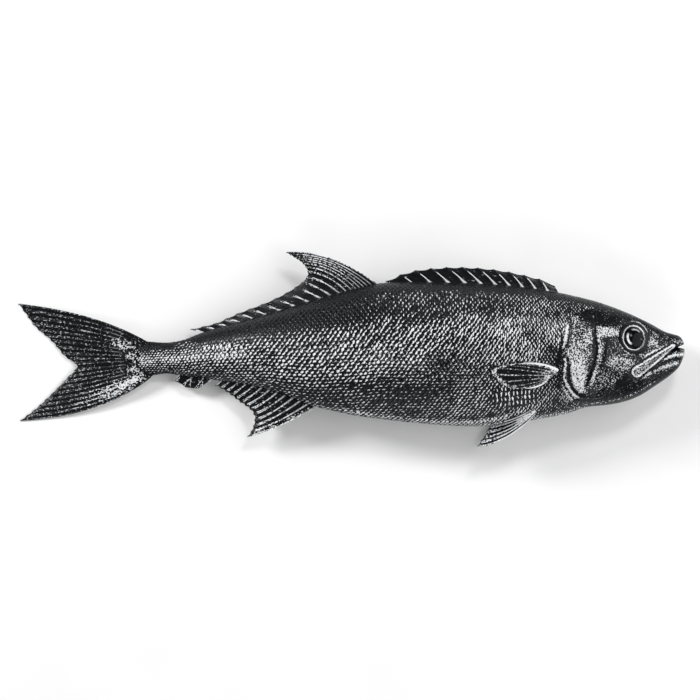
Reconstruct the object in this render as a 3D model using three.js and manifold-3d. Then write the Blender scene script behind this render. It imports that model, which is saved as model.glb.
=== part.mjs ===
// A whole raw sea fish, lying on its left flank with the right flank up.
// Sizes are millimetres. +X runs from the tail to the snout, +Y from the belly to the back, +Z is up.
// The origin is on the surface that the fish lies on, under the middle of its outline.
import * as THREE from "three";
import { mergeVertices } from "three/addons/utils/BufferGeometryUtils.js";
import Module from "manifold-3d";

const { clamp, lerp, smoothstep } = THREE.MathUtils;
const wasm = await Module();
wasm.setup();

// Driving sizes of the body.
const SNOUT_X = 301.3; // tip of the jaws
const FLESH_END_X = -208; // where the flesh ends inside the tail fin
const SNOUT_ROUND = 7.5; // length over which the snout closes
const TAIL_ROUND = 14; // length over which the flesh closes in the tail fin
const SNOUT_Y = 0.5; // level that the snout closes to
const TAIL_Y = -8.5; // level that the flesh closes to in the tail fin
const WIDEST = 0.52; // level of the widest point, as a share of the depth from the belly up
const SKIN = "#3b4247";
const EYE = "#0d0f11";

// Outline of the body without its fins, its half width, and the height of its middle plane, each by x.
const BACK = [
  [-208, 7.5], [-179, 6.5], [-164.5, 6], [-150.5, 8.5], [-135, 14.5], [-122.5, 18.5], [-93.5, 26.5],
  [-67.5, 34], [-27, 46], [0, 53.5], [20, 58.2], [33, 60], [81, 60.2], [117, 59.2], [153, 56.4],
  [187, 51.2], [209.5, 46.2], [231.5, 40], [253, 31.6], [270, 23.5], [283, 16.4], [290, 14.1], [301.3, 11.2],
];
const BELLY = [
  [-208, -25.3], [-179, -22.8], [-164.5, -21.3], [-150.5, -23.6], [-130.5, -25.8], [-115, -28.2],
  [-92, -31.4], [-76.5, -34.9], [-56.5, -42], [-31.5, -50.9], [-13.5, -55.3], [1, -58.4], [22.5, -61.6],
  [65.5, -66.3], [109, -68.9], [130.5, -68.4], [166.5, -62.9], [195.5, -57.4], [211, -52.2],
  [231.5, -49.9], [245.5, -47.3], [260, -42], [274.5, -33], [289, -22.8], [297, -15.4], [301.3, -10.5],
];
const HALF_WIDTH = [
  [-208, 0.9], [-195, 3.6], [-172, 7.5], [-150, 9.5], [-120, 13.5], [-80, 20], [-40, 26], [0, 31],
  [40, 34.5], [80, 37], [120, 37.5], [160, 36], [195, 34], [215, 31], [240, 26], [260, 21], [280, 15],
  [292, 11.5], [301.3, 9.5],
];
const MIDDLE = [
  [-302, 0.7], [-270, 1.6], [-240, 3.6], [-205, 6.4], [-172, 8], [-150, 10.5], [-120, 15.5], [-80, 22.5],
  [-40, 28.5], [0, 32.5], [40, 34], [120, 35], [190, 34], [240, 32], [302, 29],
];

// Lines that the bones of the head draw on its side, each from its upper end down.
const GILL_COVER_EDGE = [
  [203, 31], [198.5, 26], [196.5, 16.5], [195.5, 7], [191.5, -2], [194.5, -7], [196, -12], [197, -21],
  [198, -29], [202, -34.5], [206, -37.5], [211, -36],
];
const CHEEK_PLATE_EDGE = [
  [219.5, 26.5], [219, 10.5], [220.5, 1], [219, -8.5], [217, -16.5], [213.5, -27.5], [210, -36],
];
const CHEEK_RIDGE = [[230.5, 13], [229, 1], [227.5, -8.5], [223, -16.5]];
const GILL_MEMBRANE_EDGE = [
  [190.5, -5], [192, -12], [191, -24.5], [193.5, -31], [199, -39.5], [204.5, -43], [212, -43.5],
  [228, -43],
];
const GILL_OPENING_RIM = [[186.5, -10], [187.5, -20], [188, -30], [192, -37], [199, -45], [209, -48]];
const SHOULDER_EDGE = [[194.5, 24], [192.5, 12], [189, 0]];
const MOUTH_SLIT = [[310, 3.4], [297, 2.2], [288, -1.5], [276.5, -7], [266.5, -15], [259, -23]];
const MOUTH_GAPE = [[316, 3], [299, 2.3], [288, -1.5]];
const LOWER_LIP = [[302, -4], [290, -5.5], [279, -9.5], [268, -17]];
const JAW_RIDGE = [[297, -12], [284, -15], [272, -18.5], [261, -26]];
const CHIN_FOLD = [[291, -18], [275, -24], [262, -31]];
const UPPER_JAW = { front: [290, 3], rear: [257, -20], frontRadius: 1.7, rearRadius: 4.8, height: 1.5 };
const NOSTRILS = [[275, 15.5], [270.5, 17]];
const NOSTRIL_RADIUS = 1.3;

const EYE_AT = [254, 10.5];
const EYE_RADII = [10.4, 11.4, 6.6]; // along, across and through
const EYE_SINK = 3.2; // depth of the eye's middle below the skin
const EYE_GAP = 0.3;

// How finely the shapes are faceted.
const TURN_STEPS = 36;
const TRUNK_STEP = 12;
const HEAD_STEP = 3.5;
const HEAD_FROM_X = 182;
const LINE_STEPS = 24;

// The value at x of a smooth line through points, whose first numbers rise.
function through(points) {
  const line = new THREE.CubicInterpolant(
    points.map((p) => p[0]), points.map((p) => p[1]), 1, new Float64Array(1),
  );
  return (x) => line.evaluate(x)[0];
}

function spline(points) {
  return new THREE.SplineCurve(points.map(([x, y]) => new THREE.Vector2(x, y)));
}

// Finds how far a point is from a drawn line, how far along, and on which side: 1 is towards the snout.
function measured(points) {
  const route = spline(points).getSpacedPoints(LINE_STEPS);
  return (x, y) => {
    let nearest = { distance: Infinity };
    for (let i = 0; i < LINE_STEPS; i++) {
      const start = route[i];
      const dx = route[i + 1].x - start.x;
      const dy = route[i + 1].y - start.y;
      const share = clamp(((x - start.x) * dx + (y - start.y) * dy) / (dx * dx + dy * dy), 0, 1);
      const ex = x - start.x - dx * share;
      const ey = y - start.y - dy * share;
      const distance = Math.hypot(ex, ey);
      if (distance < nearest.distance) {
        const side = dx * ey - dy * ex < 0 ? -1 : 1;
        nearest = { distance, side, along: (i + share) / LINE_STEPS };
      }
    }
    return nearest;
  };
}

// Fades to nothing at both ends of a line.
function fade(along, length = 0.12) {
  return smoothstep(along, 0, length) * smoothstep(1 - along, 0, length);
}

// A bony plate that stands above the skin behind its edge, and dies away towards the snout.
function plate(points, height, reach) {
  const line = measured(points);
  return (x, y) => {
    const { distance, side, along } = line(x, y);
    const inside = distance * side;
    return height * smoothstep(inside, -0.9, 0.9) * Math.exp(-Math.max(inside, 0) / reach) * fade(along);
  };
}

// A rounded ridge along a line, or a groove where the height is negative.
function ridge(points, height, width, endFade = 0.12) {
  const line = measured(points);
  return (x, y) => {
    const { distance, along } = line(x, y);
    return height * Math.exp(-((distance / width) ** 2)) * fade(along, endFade);
  };
}

// The upper jaw bone: a club that widens towards its rear end, with a groove round it.
function club({ front, rear, frontRadius, rearRadius, height }) {
  const dx = rear[0] - front[0];
  const dy = rear[1] - front[1];
  return (x, y) => {
    const share = clamp(((x - front[0]) * dx + (y - front[1]) * dy) / (dx * dx + dy * dy), 0, 1);
    const radius = lerp(frontRadius, rearRadius, share);
    const outside = Math.hypot(x - front[0] - dx * share, y - front[1] - dy * share) - radius;
    return height * smoothstep(-outside, -0.8, 1) - 0.7 * Math.exp(-(((outside - 1) / 0.9) ** 2));
  };
}

// A dimple or, where the depth is negative, a swelling.
function pit([px, py], radius, depth) {
  return (x, y) => -depth * Math.exp(-(((x - px) ** 2 + (y - py) ** 2) / radius ** 2));
}

// The raised rim and the groove below it that ring the eye.
function orbit(x, y) {
  const out = Math.hypot((x - EYE_AT[0]) / EYE_RADII[0], (y - EYE_AT[1]) / EYE_RADII[1]);
  return 0.9 * Math.exp(-(((out - 1.12) / 0.13) ** 2)) - 0.7 * Math.exp(-(((out - 1.42) / 0.12) ** 2));
}

const HEAD_RELIEF = [
  plate(GILL_COVER_EDGE, 2.6, 22),
  plate(CHEEK_PLATE_EDGE, 1.6, 12),
  plate(GILL_MEMBRANE_EDGE, 1.5, 16),
  plate(GILL_OPENING_RIM, 0.9, 6),
  plate(SHOULDER_EDGE, 0.9, 3),
  ridge(CHEEK_RIDGE, 0.8, 2),
  ridge(MOUTH_SLIT, -3.2, 1.5, 0.05),
  ridge(MOUTH_GAPE, -4.5, 1.2, 0.2),
  ridge(LOWER_LIP, 1.2, 2),
  ridge(JAW_RIDGE, 0.9, 1.6),
  ridge(CHIN_FOLD, -0.8, 1.2),
  club(UPPER_JAW),
  orbit,
  pit([240, -10], 9, -1.4), // cheek muscle
  ...NOSTRILS.map((at) => pit(at, NOSTRIL_RADIUS, 1.4)),
];

const backLine = through(BACK);
const bellyLine = through(BELLY);
const widthLine = through(HALF_WIDTH);
const middle = through(MIDDLE);

// 1 along the body, falling to 0 where its two ends close.
function closing(x) {
  const head = clamp((x - SNOUT_X + SNOUT_ROUND) / SNOUT_ROUND, 0, 1);
  const tail = clamp((FLESH_END_X + TAIL_ROUND - x) / TAIL_ROUND, 0, 1);
  return Math.max(1 - head ** 2.6 - tail ** 2, 0) ** 0.45;
}

// The section at x: its upper and lower levels, its widest level and its half width.
function section(x) {
  const closed = closing(x);
  const end = x > 0 ? SNOUT_Y : TAIL_Y;
  const back = lerp(end, backLine(x), closed);
  const belly = lerp(end, bellyLine(x), closed);
  return { back, belly, level: lerp(belly, back, WIDEST), half: widthLine(x) * closed };
}

// How sharp the section is: below 1 it is boxy, above 1 it is pinched. The crown is broad, the belly narrow.
function pinch(x, upper) {
  return upper ? lerp(1.02, 0.9, smoothstep(x, 190, 250)) : lerp(1.12, 1, smoothstep(x, 200, 250));
}

// A point of the plain skin. A turn of 0 is the back, PI the belly, and past PI the flank below.
function skinPoint(x, turn) {
  const { back, belly, level, half } = section(x);
  const up = Math.cos(turn);
  const out = Math.sin(turn);
  const y = level + (up > 0 ? back - level : level - belly) * up;
  const z = middle(x) + half * Math.sign(out) * Math.abs(out) ** pinch(x, up > 0);
  return new THREE.Vector3(x, y, z);
}

// The height of the plain skin over a place in the outline, on the upper flank (1) or the lower one (-1).
function flank(x, y, side) {
  const { back, belly, level, half } = section(x);
  const share = clamp((y - level) / (y > level ? back - level : level - belly), -1, 1);
  return middle(x) + side * half * Math.sqrt(1 - share * share) ** pinch(x, y > level);
}

function skinNormal(x, turn) {
  const nudge = 0.01;
  const inset = Math.min(x + nudge, SNOUT_X - nudge);
  const along = skinPoint(inset, turn).sub(skinPoint(inset - 2 * nudge, turn));
  const round = skinPoint(inset - nudge, turn + nudge).sub(skinPoint(inset - nudge, turn - nudge));
  return round.cross(along).normalize();
}

// The skin with the bones of the head on it, flattened where it rests.
function bodyPoint(x, turn) {
  const point = skinPoint(x, turn);
  if (x > HEAD_FROM_X && x < SNOUT_X) {
    const raised = HEAD_RELIEF.reduce((sum, part) => sum + part(point.x, point.y), 0);
    point.addScaledVector(skinNormal(x, turn), raised);
  }
  point.z = Math.max(point.z, 0);
  return point;
}

// One closed mesh from numbered triangles, with those that have no area left out.
function closedMesh(points, faces) {
  const geometry = new THREE.BufferGeometry().setFromPoints(points);
  geometry.setIndex(faces);
  const merged = mergeVertices(geometry, 1e-4);
  const index = merged.index.array;
  const kept = [];
  for (let i = 0; i < index.length; i += 3) {
    const [a, b, c] = index.slice(i, i + 3);
    if (a !== b && b !== c && c !== a) kept.push(a, b, c);
  }
  merged.setIndex(kept);
  return merged;
}

// The places along the body where its sections stand, close together where it closes and on the head.
function stations() {
  const found = [];
  const capSteps = 5;
  for (let i = 0; i < capSteps; i++) {
    found.push(FLESH_END_X + TAIL_ROUND * (1 - Math.cos((i / capSteps) * (Math.PI / 2))));
  }
  const trunkFrom = FLESH_END_X + TAIL_ROUND;
  const trunkSteps = Math.round((HEAD_FROM_X - trunkFrom) / TRUNK_STEP);
  for (let i = 0; i < trunkSteps; i++) found.push(lerp(trunkFrom, HEAD_FROM_X, i / trunkSteps));
  const headTo = SNOUT_X - SNOUT_ROUND;
  const headSteps = Math.round((headTo - HEAD_FROM_X) / HEAD_STEP);
  for (let i = 0; i < headSteps; i++) found.push(lerp(HEAD_FROM_X, headTo, i / headSteps));
  for (let i = 0; i <= capSteps; i++) {
    found.push(headTo + SNOUT_ROUND * Math.sin((i / capSteps) * (Math.PI / 2)));
  }
  return found;
}

function body() {
  const points = [];
  const faces = [];
  const xs = stations();
  for (const x of xs) {
    for (let j = 0; j < TURN_STEPS; j++) points.push(bodyPoint(x, (j / TURN_STEPS) * 2 * Math.PI));
  }
  for (let i = 0; i < xs.length - 1; i++) {
    for (let j = 0; j < TURN_STEPS; j++) {
      const next = (j + 1) % TURN_STEPS;
      const a = i * TURN_STEPS + j;
      const b = i * TURN_STEPS + next;
      faces.push(a, b, a + TURN_STEPS, b, b + TURN_STEPS, a + TURN_STEPS);
    }
  }
  return closedMesh(points, faces);
}

// A thin solid from a grid of places, each with its lower and its upper height.
function sheet(columns, rows, place) {
  const points = [];
  const faces = [];
  const count = columns * rows;
  const grid = [];
  for (let i = 0; i < columns; i++) for (let j = 0; j < rows; j++) grid.push(place(i, j));
  for (const { x, y, high } of grid) points.push(new THREE.Vector3(x, y, high));
  for (const { x, y, low } of grid) points.push(new THREE.Vector3(x, y, low));
  const turned = (a, b, c) => {
    const ab = points[b].clone().sub(points[a]);
    return ab.cross(points[c].clone().sub(points[a])).z < 0;
  };
  const middleOfGrid = Math.floor(columns / 2) * rows;
  const flip = turned(middleOfGrid, middleOfGrid + rows, middleOfGrid + 1);
  const face = (a, b, c) => (flip ? faces.push(a, c, b) : faces.push(a, b, c));
  for (let i = 0; i < columns - 1; i++) {
    for (let j = 0; j < rows - 1; j++) {
      const a = i * rows + j;
      const b = a + rows;
      face(a, b, b + 1);
      face(a, b + 1, a + 1);
      face(a + count, b + 1 + count, b + count);
      face(a + count, a + 1 + count, b + 1 + count);
    }
  }
  const rim = [];
  for (let i = 0; i < columns - 1; i++) rim.push(i * rows);
  for (let j = 0; j < rows - 1; j++) rim.push((columns - 1) * rows + j);
  for (let i = columns - 1; i > 0; i--) rim.push(i * rows + rows - 1);
  for (let j = rows - 1; j > 0; j--) rim.push(j);
  rim.forEach((a, i) => {
    const b = rim[(i + 1) % rim.length];
    face(a, a + count, b);
    face(b, a + count, b + count);
  });
  return closedMesh(points, faces);
}

// A fin: rays from a root line to a free edge, with the skin between them thinner and cut back a little.
function fin({ rays, perRay, rows, root, edge, bow, lean = 0.5, notch, rootHalf, tipHalf, height, rise = 0 }) {
  const rootLine = spline(root);
  const edgeLine = spline(edge);
  const columns = (rays - 1) * perRay + 1;
  return sheet(columns, rows, (i, j) => {
    const across = i / (columns - 1);
    const between = (i % perRay) / perRay;
    const web = Math.sin(between * Math.PI);
    const start = rootLine.getPointAt(across);
    const end = edgeLine.getPointAt(across);
    const dip = 1 - (notch(across) * web) / start.distanceTo(end);
    const side = new THREE.Vector2(end.y - start.y, start.x - end.x).normalize();
    const control = start.clone().lerp(end, lean).addScaledVector(side, 2 * bow(across));
    const out = (j / (rows - 1)) * dip;
    const { x, y } = new THREE.QuadraticBezierCurve(start, control, end).getPoint(out);
    const half = lerp(rootHalf, tipHalf, Math.sqrt(out)) * lerp(1, 0.62, web);
    const z = height(x, y, out) + rise * Math.sin(across * 9) * out;
    const low = Math.max(z - half, 0);
    return { x, y, low, high: Math.max(z + half, low + 2 * tipHalf * 0.62) };
  });
}

// A fin on the outline lies in the middle plane and hangs a little towards its edge.
function hanging(drop) {
  return (x, y, out) => middle(x) - drop * out ** 1.5;
}

// The spiny fin along the front of the back: low, with a free point on each spine.
function spinyBackFin() {
  const spines = 12;
  return fin({
    rays: spines, perRay: 3, rows: 3,
    root: [[189, 47], [150, 50], [110, 53], [75, 53], [46, 53]],
    edge: [
      [183, 57.5], [175, 62], [163, 65.5], [143, 70], [122, 73], [98, 74.3], [78, 73.6], [60, 71.5],
      [45, 67.5], [32, 61.5],
    ],
    bow: () => 1.2,
    notch: () => 1.9,
    rootHalf: 1.5, tipHalf: 0.5, height: hanging(2),
  });
}

// The soft fin behind it: a tall swept lobe, then a long low run to a free point.
function softBackFin() {
  return fin({
    rays: 22, perRay: 2, rows: 5,
    root: [[29, 55], [2, 47], [-27, 39], [-67, 27.5], [-100, 19], [-126, 13]],
    edge: [
      [-57.5, 87.6], [-50, 83], [-43, 78], [-38.3, 70], [-41.5, 62.5], [-54.5, 53], [-74, 43.2], [-98.5, 34],
      [-112.5, 28], [-123, 23.5], [-144.5, 18.3],
    ],
    bow: (across) => 8.2 * (1 - smoothstep(across, 0, 0.35)) + 0.6,
    lean: 0.58,
    notch: (across) => lerp(0.3, 1.5, across),
    rootHalf: 1.7, tipHalf: 0.45, height: hanging(5), rise: 0.6,
  });
}

function analFin() {
  return fin({
    rays: 13, perRay: 2, rows: 5,
    root: [[-26, -48.5], [-50, -38], [-70, -30.5], [-92, -26], [-111, -23.5]],
    edge: [
      [-92.8, -78.8], [-88.5, -71.5], [-86.5, -63], [-88.5, -56.5], [-94, -51.5], [-100.5, -47],
      [-107, -42], [-113.5, -37.5], [-121.8, -32.7],
    ],
    bow: (across) => -2.9 * (1 - across),
    lean: 0.62,
    notch: () => 1.3,
    rootHalf: 1.6, tipHalf: 0.45, height: hanging(6), rise: 0.5,
  });
}

// A small fin of its own between the anal fin and the tail.
function finlet() {
  return fin({
    rays: 4, perRay: 2, rows: 3,
    root: [[-121, -22], [-135, -20], [-149, -18.5]],
    edge: [[-127, -29], [-138, -35.5], [-147, -35], [-160, -28.5]],
    bow: () => 0,
    notch: () => 1,
    rootHalf: 1.3, tipHalf: 0.45, height: hanging(2),
  });
}

function tailFin() {
  return fin({
    rays: 21, perRay: 2, rows: 7,
    root: [[-181, 5], [-190, -1], [-193, -8], [-190, -16], [-177, -22]],
    edge: [
      [-301.3, 41.3], [-294.5, 32], [-285.5, 20], [-272, 8.5], [-259.5, -6], [-248.5, -15], [-259, -27.5],
      [-273, -42], [-286, -54], [-299.8, -64.5],
    ],
    bow: (across) => lerp(6.8, -10.8, smoothstep(across, 0.05, 0.95)) * Math.abs(2 * across - 1) ** 1.5,
    lean: 0.42,
    notch: () => 1.1,
    rootHalf: 3.6, tipHalf: 0.45, height: hanging(0),
  });
}

// The fin on the breast, which lies back along the flank from just behind the gills.
function breastFin(side) {
  return fin({
    rays: 9, perRay: 2, rows: 5,
    root: [[186, -18], [183, -22], [176, -27.5]],
    edge: [[155, -12], [137, -14], [127, -18], [126, -21], [131.5, -28], [142, -34], [157, -34.5]],
    bow: (across) => lerp(2.2, -2.2, across),
    notch: () => 0.8,
    rootHalf: 1.5, tipHalf: 0.8, height: (x, y) => flank(x, y, side) + side * 0.45,
  });
}

// The fins on the belly, one on each side. They hang past the belly towards the surface.
function bellyFin(side, tipHeight) {
  const rootHeight = flank(165, -54, side);
  return fin({
    rays: 6, perRay: 2, rows: 5,
    root: [[167, -55], [165, -51], [161, -50]],
    edge: [[115.5, -87.6], [118.5, -82.5], [122.5, -77], [125, -71.5], [130.5, -66]],
    bow: (across) => lerp(-5.4, 1, across),
    lean: 0.6,
    notch: () => 1.2,
    rootHalf: 1.6, tipHalf: 0.45,
    height: (x, y, out) => {
      const straight = lerp(rootHeight - 0.5, tipHeight, out);
      return side > 0 ? Math.max(straight, flank(x, y, side) + 0.3) : straight;
    },
  });
}

function eyeBall(side, grow) {
  const [x, y] = EYE_AT;
  const share = clamp((y - section(x).level) / (section(x).back - section(x).level), -1, 1);
  const turn = side > 0 ? Math.acos(share) : 2 * Math.PI - Math.acos(share);
  const normal = skinNormal(x, turn);
  const ball = new THREE.SphereGeometry(1, 18, 11).rotateX(Math.PI / 2);
  ball.scale(EYE_RADII[0] + grow, EYE_RADII[1] + grow, EYE_RADII[2] + grow);
  const tilt = new THREE.Quaternion().setFromUnitVectors(new THREE.Vector3(0, 0, side), normal);
  const middleOfEye = skinPoint(x, turn).addScaledVector(normal, -EYE_SINK);
  const bare = ball.deleteAttribute("normal").deleteAttribute("uv");
  return closedMeshOf(bare).applyQuaternion(tilt).translate(...middleOfEye.toArray());
}

function closedMeshOf(geometry) {
  const position = geometry.getAttribute("position");
  const points = [];
  for (let i = 0; i < position.count; i++) points.push(new THREE.Vector3().fromBufferAttribute(position, i));
  return closedMesh(points, Array.from(geometry.index.array));
}

function solid(geometry) {
  return new wasm.Manifold(new wasm.Mesh({
    numProp: 3,
    vertProperties: new Float32Array(geometry.getAttribute("position").array),
    triVerts: new Uint32Array(geometry.index.array),
  }));
}

function geometryOf(manifold) {
  const { vertProperties, triVerts } = manifold.getMesh();
  const geometry = new THREE.BufferGeometry();
  geometry.setAttribute("position", new THREE.BufferAttribute(vertProperties, 3));
  geometry.setIndex(new THREE.BufferAttribute(triVerts, 1));
  geometry.computeVertexNormals();
  return geometry;
}

// The body with every fin grown out of it, as one solid, with a socket for each eye.
function wholeFish() {
  const fins = [
    spinyBackFin(), softBackFin(), analFin(), finlet(), tailFin(),
    breastFin(1), breastFin(-1), bellyFin(1, 29), bellyFin(-1, 5),
  ];
  const joined = fins.reduce((sum, one) => sum.add(solid(one)), solid(body()));
  const [filled] = joined.decompose().sort((a, b) => b.volume() - a.volume());
  return filled.subtract(solid(eyeBall(1, EYE_GAP))).subtract(solid(eyeBall(-1, EYE_GAP)));
}

function mesh(name, geometry, color, roughness) {
  const made = new THREE.Mesh(geometry, new THREE.MeshStandardMaterial({ color, roughness, metalness: 0 }));
  made.name = name;
  return made;
}

const fish = new THREE.Group();
fish.add(mesh("fish", geometryOf(wholeFish()), SKIN, 0.35));
fish.add(mesh("eye_upper", eyeBall(1, 0), EYE, 0.08));
fish.add(mesh("eye_lower", eyeBall(-1, 0), EYE, 0.08));

export default fish;
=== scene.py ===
# A whole raw sea fish, lying on its left flank with the right flank up.
# Sizes are millimetres, and a mesh turns them into metres as it is made.
# +X runs from the tail to the snout, +Y from the belly to the back, and +Z is up from the table.
import bmesh
import bpy
import numpy as np
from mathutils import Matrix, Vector


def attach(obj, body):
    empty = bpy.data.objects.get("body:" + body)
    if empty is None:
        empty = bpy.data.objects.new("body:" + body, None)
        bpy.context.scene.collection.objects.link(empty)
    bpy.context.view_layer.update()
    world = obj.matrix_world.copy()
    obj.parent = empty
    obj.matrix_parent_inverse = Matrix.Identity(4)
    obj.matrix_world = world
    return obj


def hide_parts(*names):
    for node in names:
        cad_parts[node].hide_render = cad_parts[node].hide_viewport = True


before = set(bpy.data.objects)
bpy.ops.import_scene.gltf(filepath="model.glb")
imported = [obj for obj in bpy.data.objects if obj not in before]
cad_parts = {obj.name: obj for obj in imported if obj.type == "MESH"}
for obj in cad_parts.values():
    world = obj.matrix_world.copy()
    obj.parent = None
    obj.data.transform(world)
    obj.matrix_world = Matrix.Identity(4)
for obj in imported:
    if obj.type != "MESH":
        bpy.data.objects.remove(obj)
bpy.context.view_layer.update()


# The skin
# One closed bag of skin holds the long muscle of the body and the bones of the head. It is lofted from
# an outline, a half width and a middle plane along the body, and it lies flattened on the table.
# The plates, ridges, grooves and hollows of the head are raised or sunk along the skin's own normal.
MM = 0.001
SNOUT_X = 301.3
FLESH_END_X = -208.0
SNOUT_ROUND = 7.5
TAIL_ROUND = 14.0
SNOUT_Y = 0.5
TAIL_Y = -8.5
WIDEST = 0.52  # level of the widest point, as a share of the depth from the belly up
SHOWN, UNDER = 1, -1  # the flank that faces up, and the one on the table


def through(points):
    """A smooth line through points that rise in x, as a function of x."""
    xs, ys = np.array(points, float).T
    slopes = np.diff(ys) / np.diff(xs)
    tangents = np.concatenate([slopes[:1], (slopes[1:] + slopes[:-1]) / 2, slopes[-1:]])

    def at(x):
        x = np.clip(x, xs[0], xs[-1])
        i = np.clip(np.searchsorted(xs, x, side="right") - 1, 0, len(xs) - 2)
        gap = xs[i + 1] - xs[i]
        t = (x - xs[i]) / gap
        fall = 1 - t
        return (
            fall * fall * (1 + 2 * t) * ys[i] + fall * fall * t * gap * tangents[i]
            + t * t * (3 - 2 * t) * ys[i + 1] - t * t * fall * gap * tangents[i + 1]
        )

    return at


def smooth(value, low, high):
    """Goes smoothly from 0 at low to 1 at high, which may be below low."""
    t = np.clip((value - low) / (high - low), 0, 1)
    return t * t * (3 - 2 * t)


def blend(a, b, share):
    return a + (b - a) * share


def hump(value, at, width):
    """1 where a value is at its place, dying away on both sides."""
    return np.exp(-(((value - at) / width) ** 2))


def run_along(points):
    """How far each point of a line, or of each line of a grid, is along it."""
    steps = np.linalg.norm(np.diff(points, axis=-2), axis=-1)
    return np.concatenate([0 * steps[..., :1], np.cumsum(steps, axis=-1)], -1)


def drawn(points):
    """A smooth curve through points, as a function of the share of its length."""
    points = np.array(points, float)
    ends = np.concatenate([points[:1], points, points[-1:]])
    t = np.linspace(0, 1, 16, endpoint=False)[:, None]
    runs = []
    for a, b, c, d in zip(ends, ends[1:], ends[2:], ends[3:]):
        pull, push = (c - a) / 2, (d - b) / 2
        runs.append(b + pull * t + (3 * (c - b) - 2 * pull - push) * t**2
                    + (2 * (b - c) + pull + push) * t**3)
    route = np.concatenate(runs + [points[-1:]])
    lengths = run_along(route)
    shares = lengths / lengths[-1]

    def at(share):
        return np.stack([np.interp(share, shares, line) for line in route.T], -1)

    return at


def nearest(x, y, start, end):
    """The share of a straight line that is nearest to places, and the way from there to them."""
    dx, dy = end - start
    share = np.clip(((x - start[0]) * dx + (y - start[1]) * dy) / (dx * dx + dy * dy), 0, 1)
    return share, x - start[0] - dx * share, y - start[1] - dy * share


def measured(x, y, points, steps=32):
    """How far places are from a drawn line, on which side, 1 towards the snout, and how far along."""
    route = drawn(points)(np.linspace(0, 1, steps + 1))
    best = np.full(np.shape(x), np.inf)
    side = np.ones(np.shape(x))
    along = np.zeros(np.shape(x))
    for i, (start, end) in enumerate(zip(route, route[1:])):
        share, ex, ey = nearest(x, y, start, end)
        dx, dy = end - start
        distance = np.hypot(ex, ey)
        nearer = distance < best
        best = np.where(nearer, distance, best)
        side = np.where(nearer, np.where(dx * ey - dy * ex < 0, -1, 1), side)
        along = np.where(nearer, (i + share) / steps, along)
    return best, side, along


def fade(along, length=0.12):
    return smooth(along, 0, length) * smooth(1 - along, 0, length)


def plate(x, y, points, height, reach, edge=0.6):
    """A bony plate that stands above the skin behind its edge, and dies away towards the snout."""
    distance, side, along = measured(x, y, points)
    inside = distance * side
    return height * smooth(inside, -edge, edge) * np.exp(-np.maximum(inside, 0) / reach) * fade(along)


def ridge(x, y, points, height, width, end_fade=0.12):
    """A rounded ridge along a line, or a groove where the height is negative."""
    distance, _, along = measured(x, y, points)
    return height * hump(distance, 0, width) * fade(along, end_fade)


def club_distance(x, y):
    """How far places are outside the upper jaw bone, a club that widens towards its rear end."""
    share, ex, ey = nearest(x, y, *np.array([JAW_FRONT, JAW_REAR], float))
    return np.hypot(ex, ey) - blend(JAW_FRONT_RADIUS, JAW_REAR_RADIUS, share)


def club(x, y):
    """The raised jaw bone, with the groove round it."""
    outside = club_distance(x, y)
    return JAW_HEIGHT * smooth(-outside, -0.8, 1) - JAW_GROOVE * hump(outside, 1, 0.9)


def pit(x, y, at, radius, depth):
    """A dimple or, where the depth is negative, a swelling."""
    return -depth * np.exp(-(((x - at[0]) ** 2 + (y - at[1]) ** 2) / radius**2))


def from_eye(x, y):
    """How far places are from the eye's middle, where its rim is at 1."""
    return np.hypot((x - EYE_AT[0]) / EYE_RADII[0], (y - EYE_AT[1]) / EYE_RADII[1])


def orbit(x, y):
    """The raised rim and the groove round the eye, and the socket that the ball sits in."""
    out = from_eye(x, y)
    rim = EYE_RIM_HEIGHT * hump(out, 1.12, 0.13)
    groove = EYE_GROOVE_DEPTH * hump(out, 1.42, 0.12)
    return rim - groove - EYE_SOCKET_DEPTH * smooth(-out, -0.94, -0.74)


EYE_AT = (254, 10.5)
EYE_RADII = (10.4, 11.4, 6.6)  # along, across and through
EYE_SINK = 3.2  # depth of the ball's middle below the skin
EYE_RIM_HEIGHT, EYE_GROOVE_DEPTH, EYE_SOCKET_DEPTH = 0.9, 0.7, 3.0
JAW_FRONT, JAW_REAR = (290, 3), (257, -20)
JAW_FRONT_RADIUS, JAW_REAR_RADIUS = 1.7, 4.8
JAW_HEIGHT, JAW_GROOVE = 1.5, 0.7
GILL_COVER_EDGE = [
    (203, 31), (198.5, 26), (196.5, 16.5), (195.5, 7), (191.5, -2), (194.5, -7), (196, -12), (197, -21),
    (198, -29), (202, -34.5), (206, -37.5), (211, -36),
]
CHEEK_PLATE_EDGE = [
    (219.5, 26.5), (219, 10.5), (220.5, 1), (219, -8.5), (217, -16.5), (213.5, -27.5), (210, -36),
]
CHEEK_RIDGE = [(230.5, 13), (229, 1), (227.5, -8.5), (223, -16.5)]
GILL_MEMBRANE_EDGE = [
    (190.5, -5), (192, -12), (191, -24.5), (193.5, -31), (199, -39.5), (204.5, -43), (212, -43.5),
    (228, -43),
]
GILL_OPENING_RIM = [(186.5, -10), (187.5, -20), (188, -30), (192, -37), (199, -45), (209, -48)]
SHOULDER_EDGE = [(194.5, 24), (192.5, 12), (189, 0)]
MOUTH_SLIT = [(310, 3.4), (297, 2.2), (288, -1.5), (276.5, -7), (266.5, -15), (259, -23)]
MOUTH_GAPE = [(316, 3), (299, 2.3), (288, -1.5)]
LOWER_LIP = [(302, -4), (290, -5.5), (279, -9.5), (268, -17)]
JAW_RIDGE = [(297, -12), (284, -15), (272, -18.5), (261, -26)]
CHIN_FOLD = [(291, -18), (275, -24), (262, -31)]
NOSTRILS = [(275, 15.5), (270.5, 17)]
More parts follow.
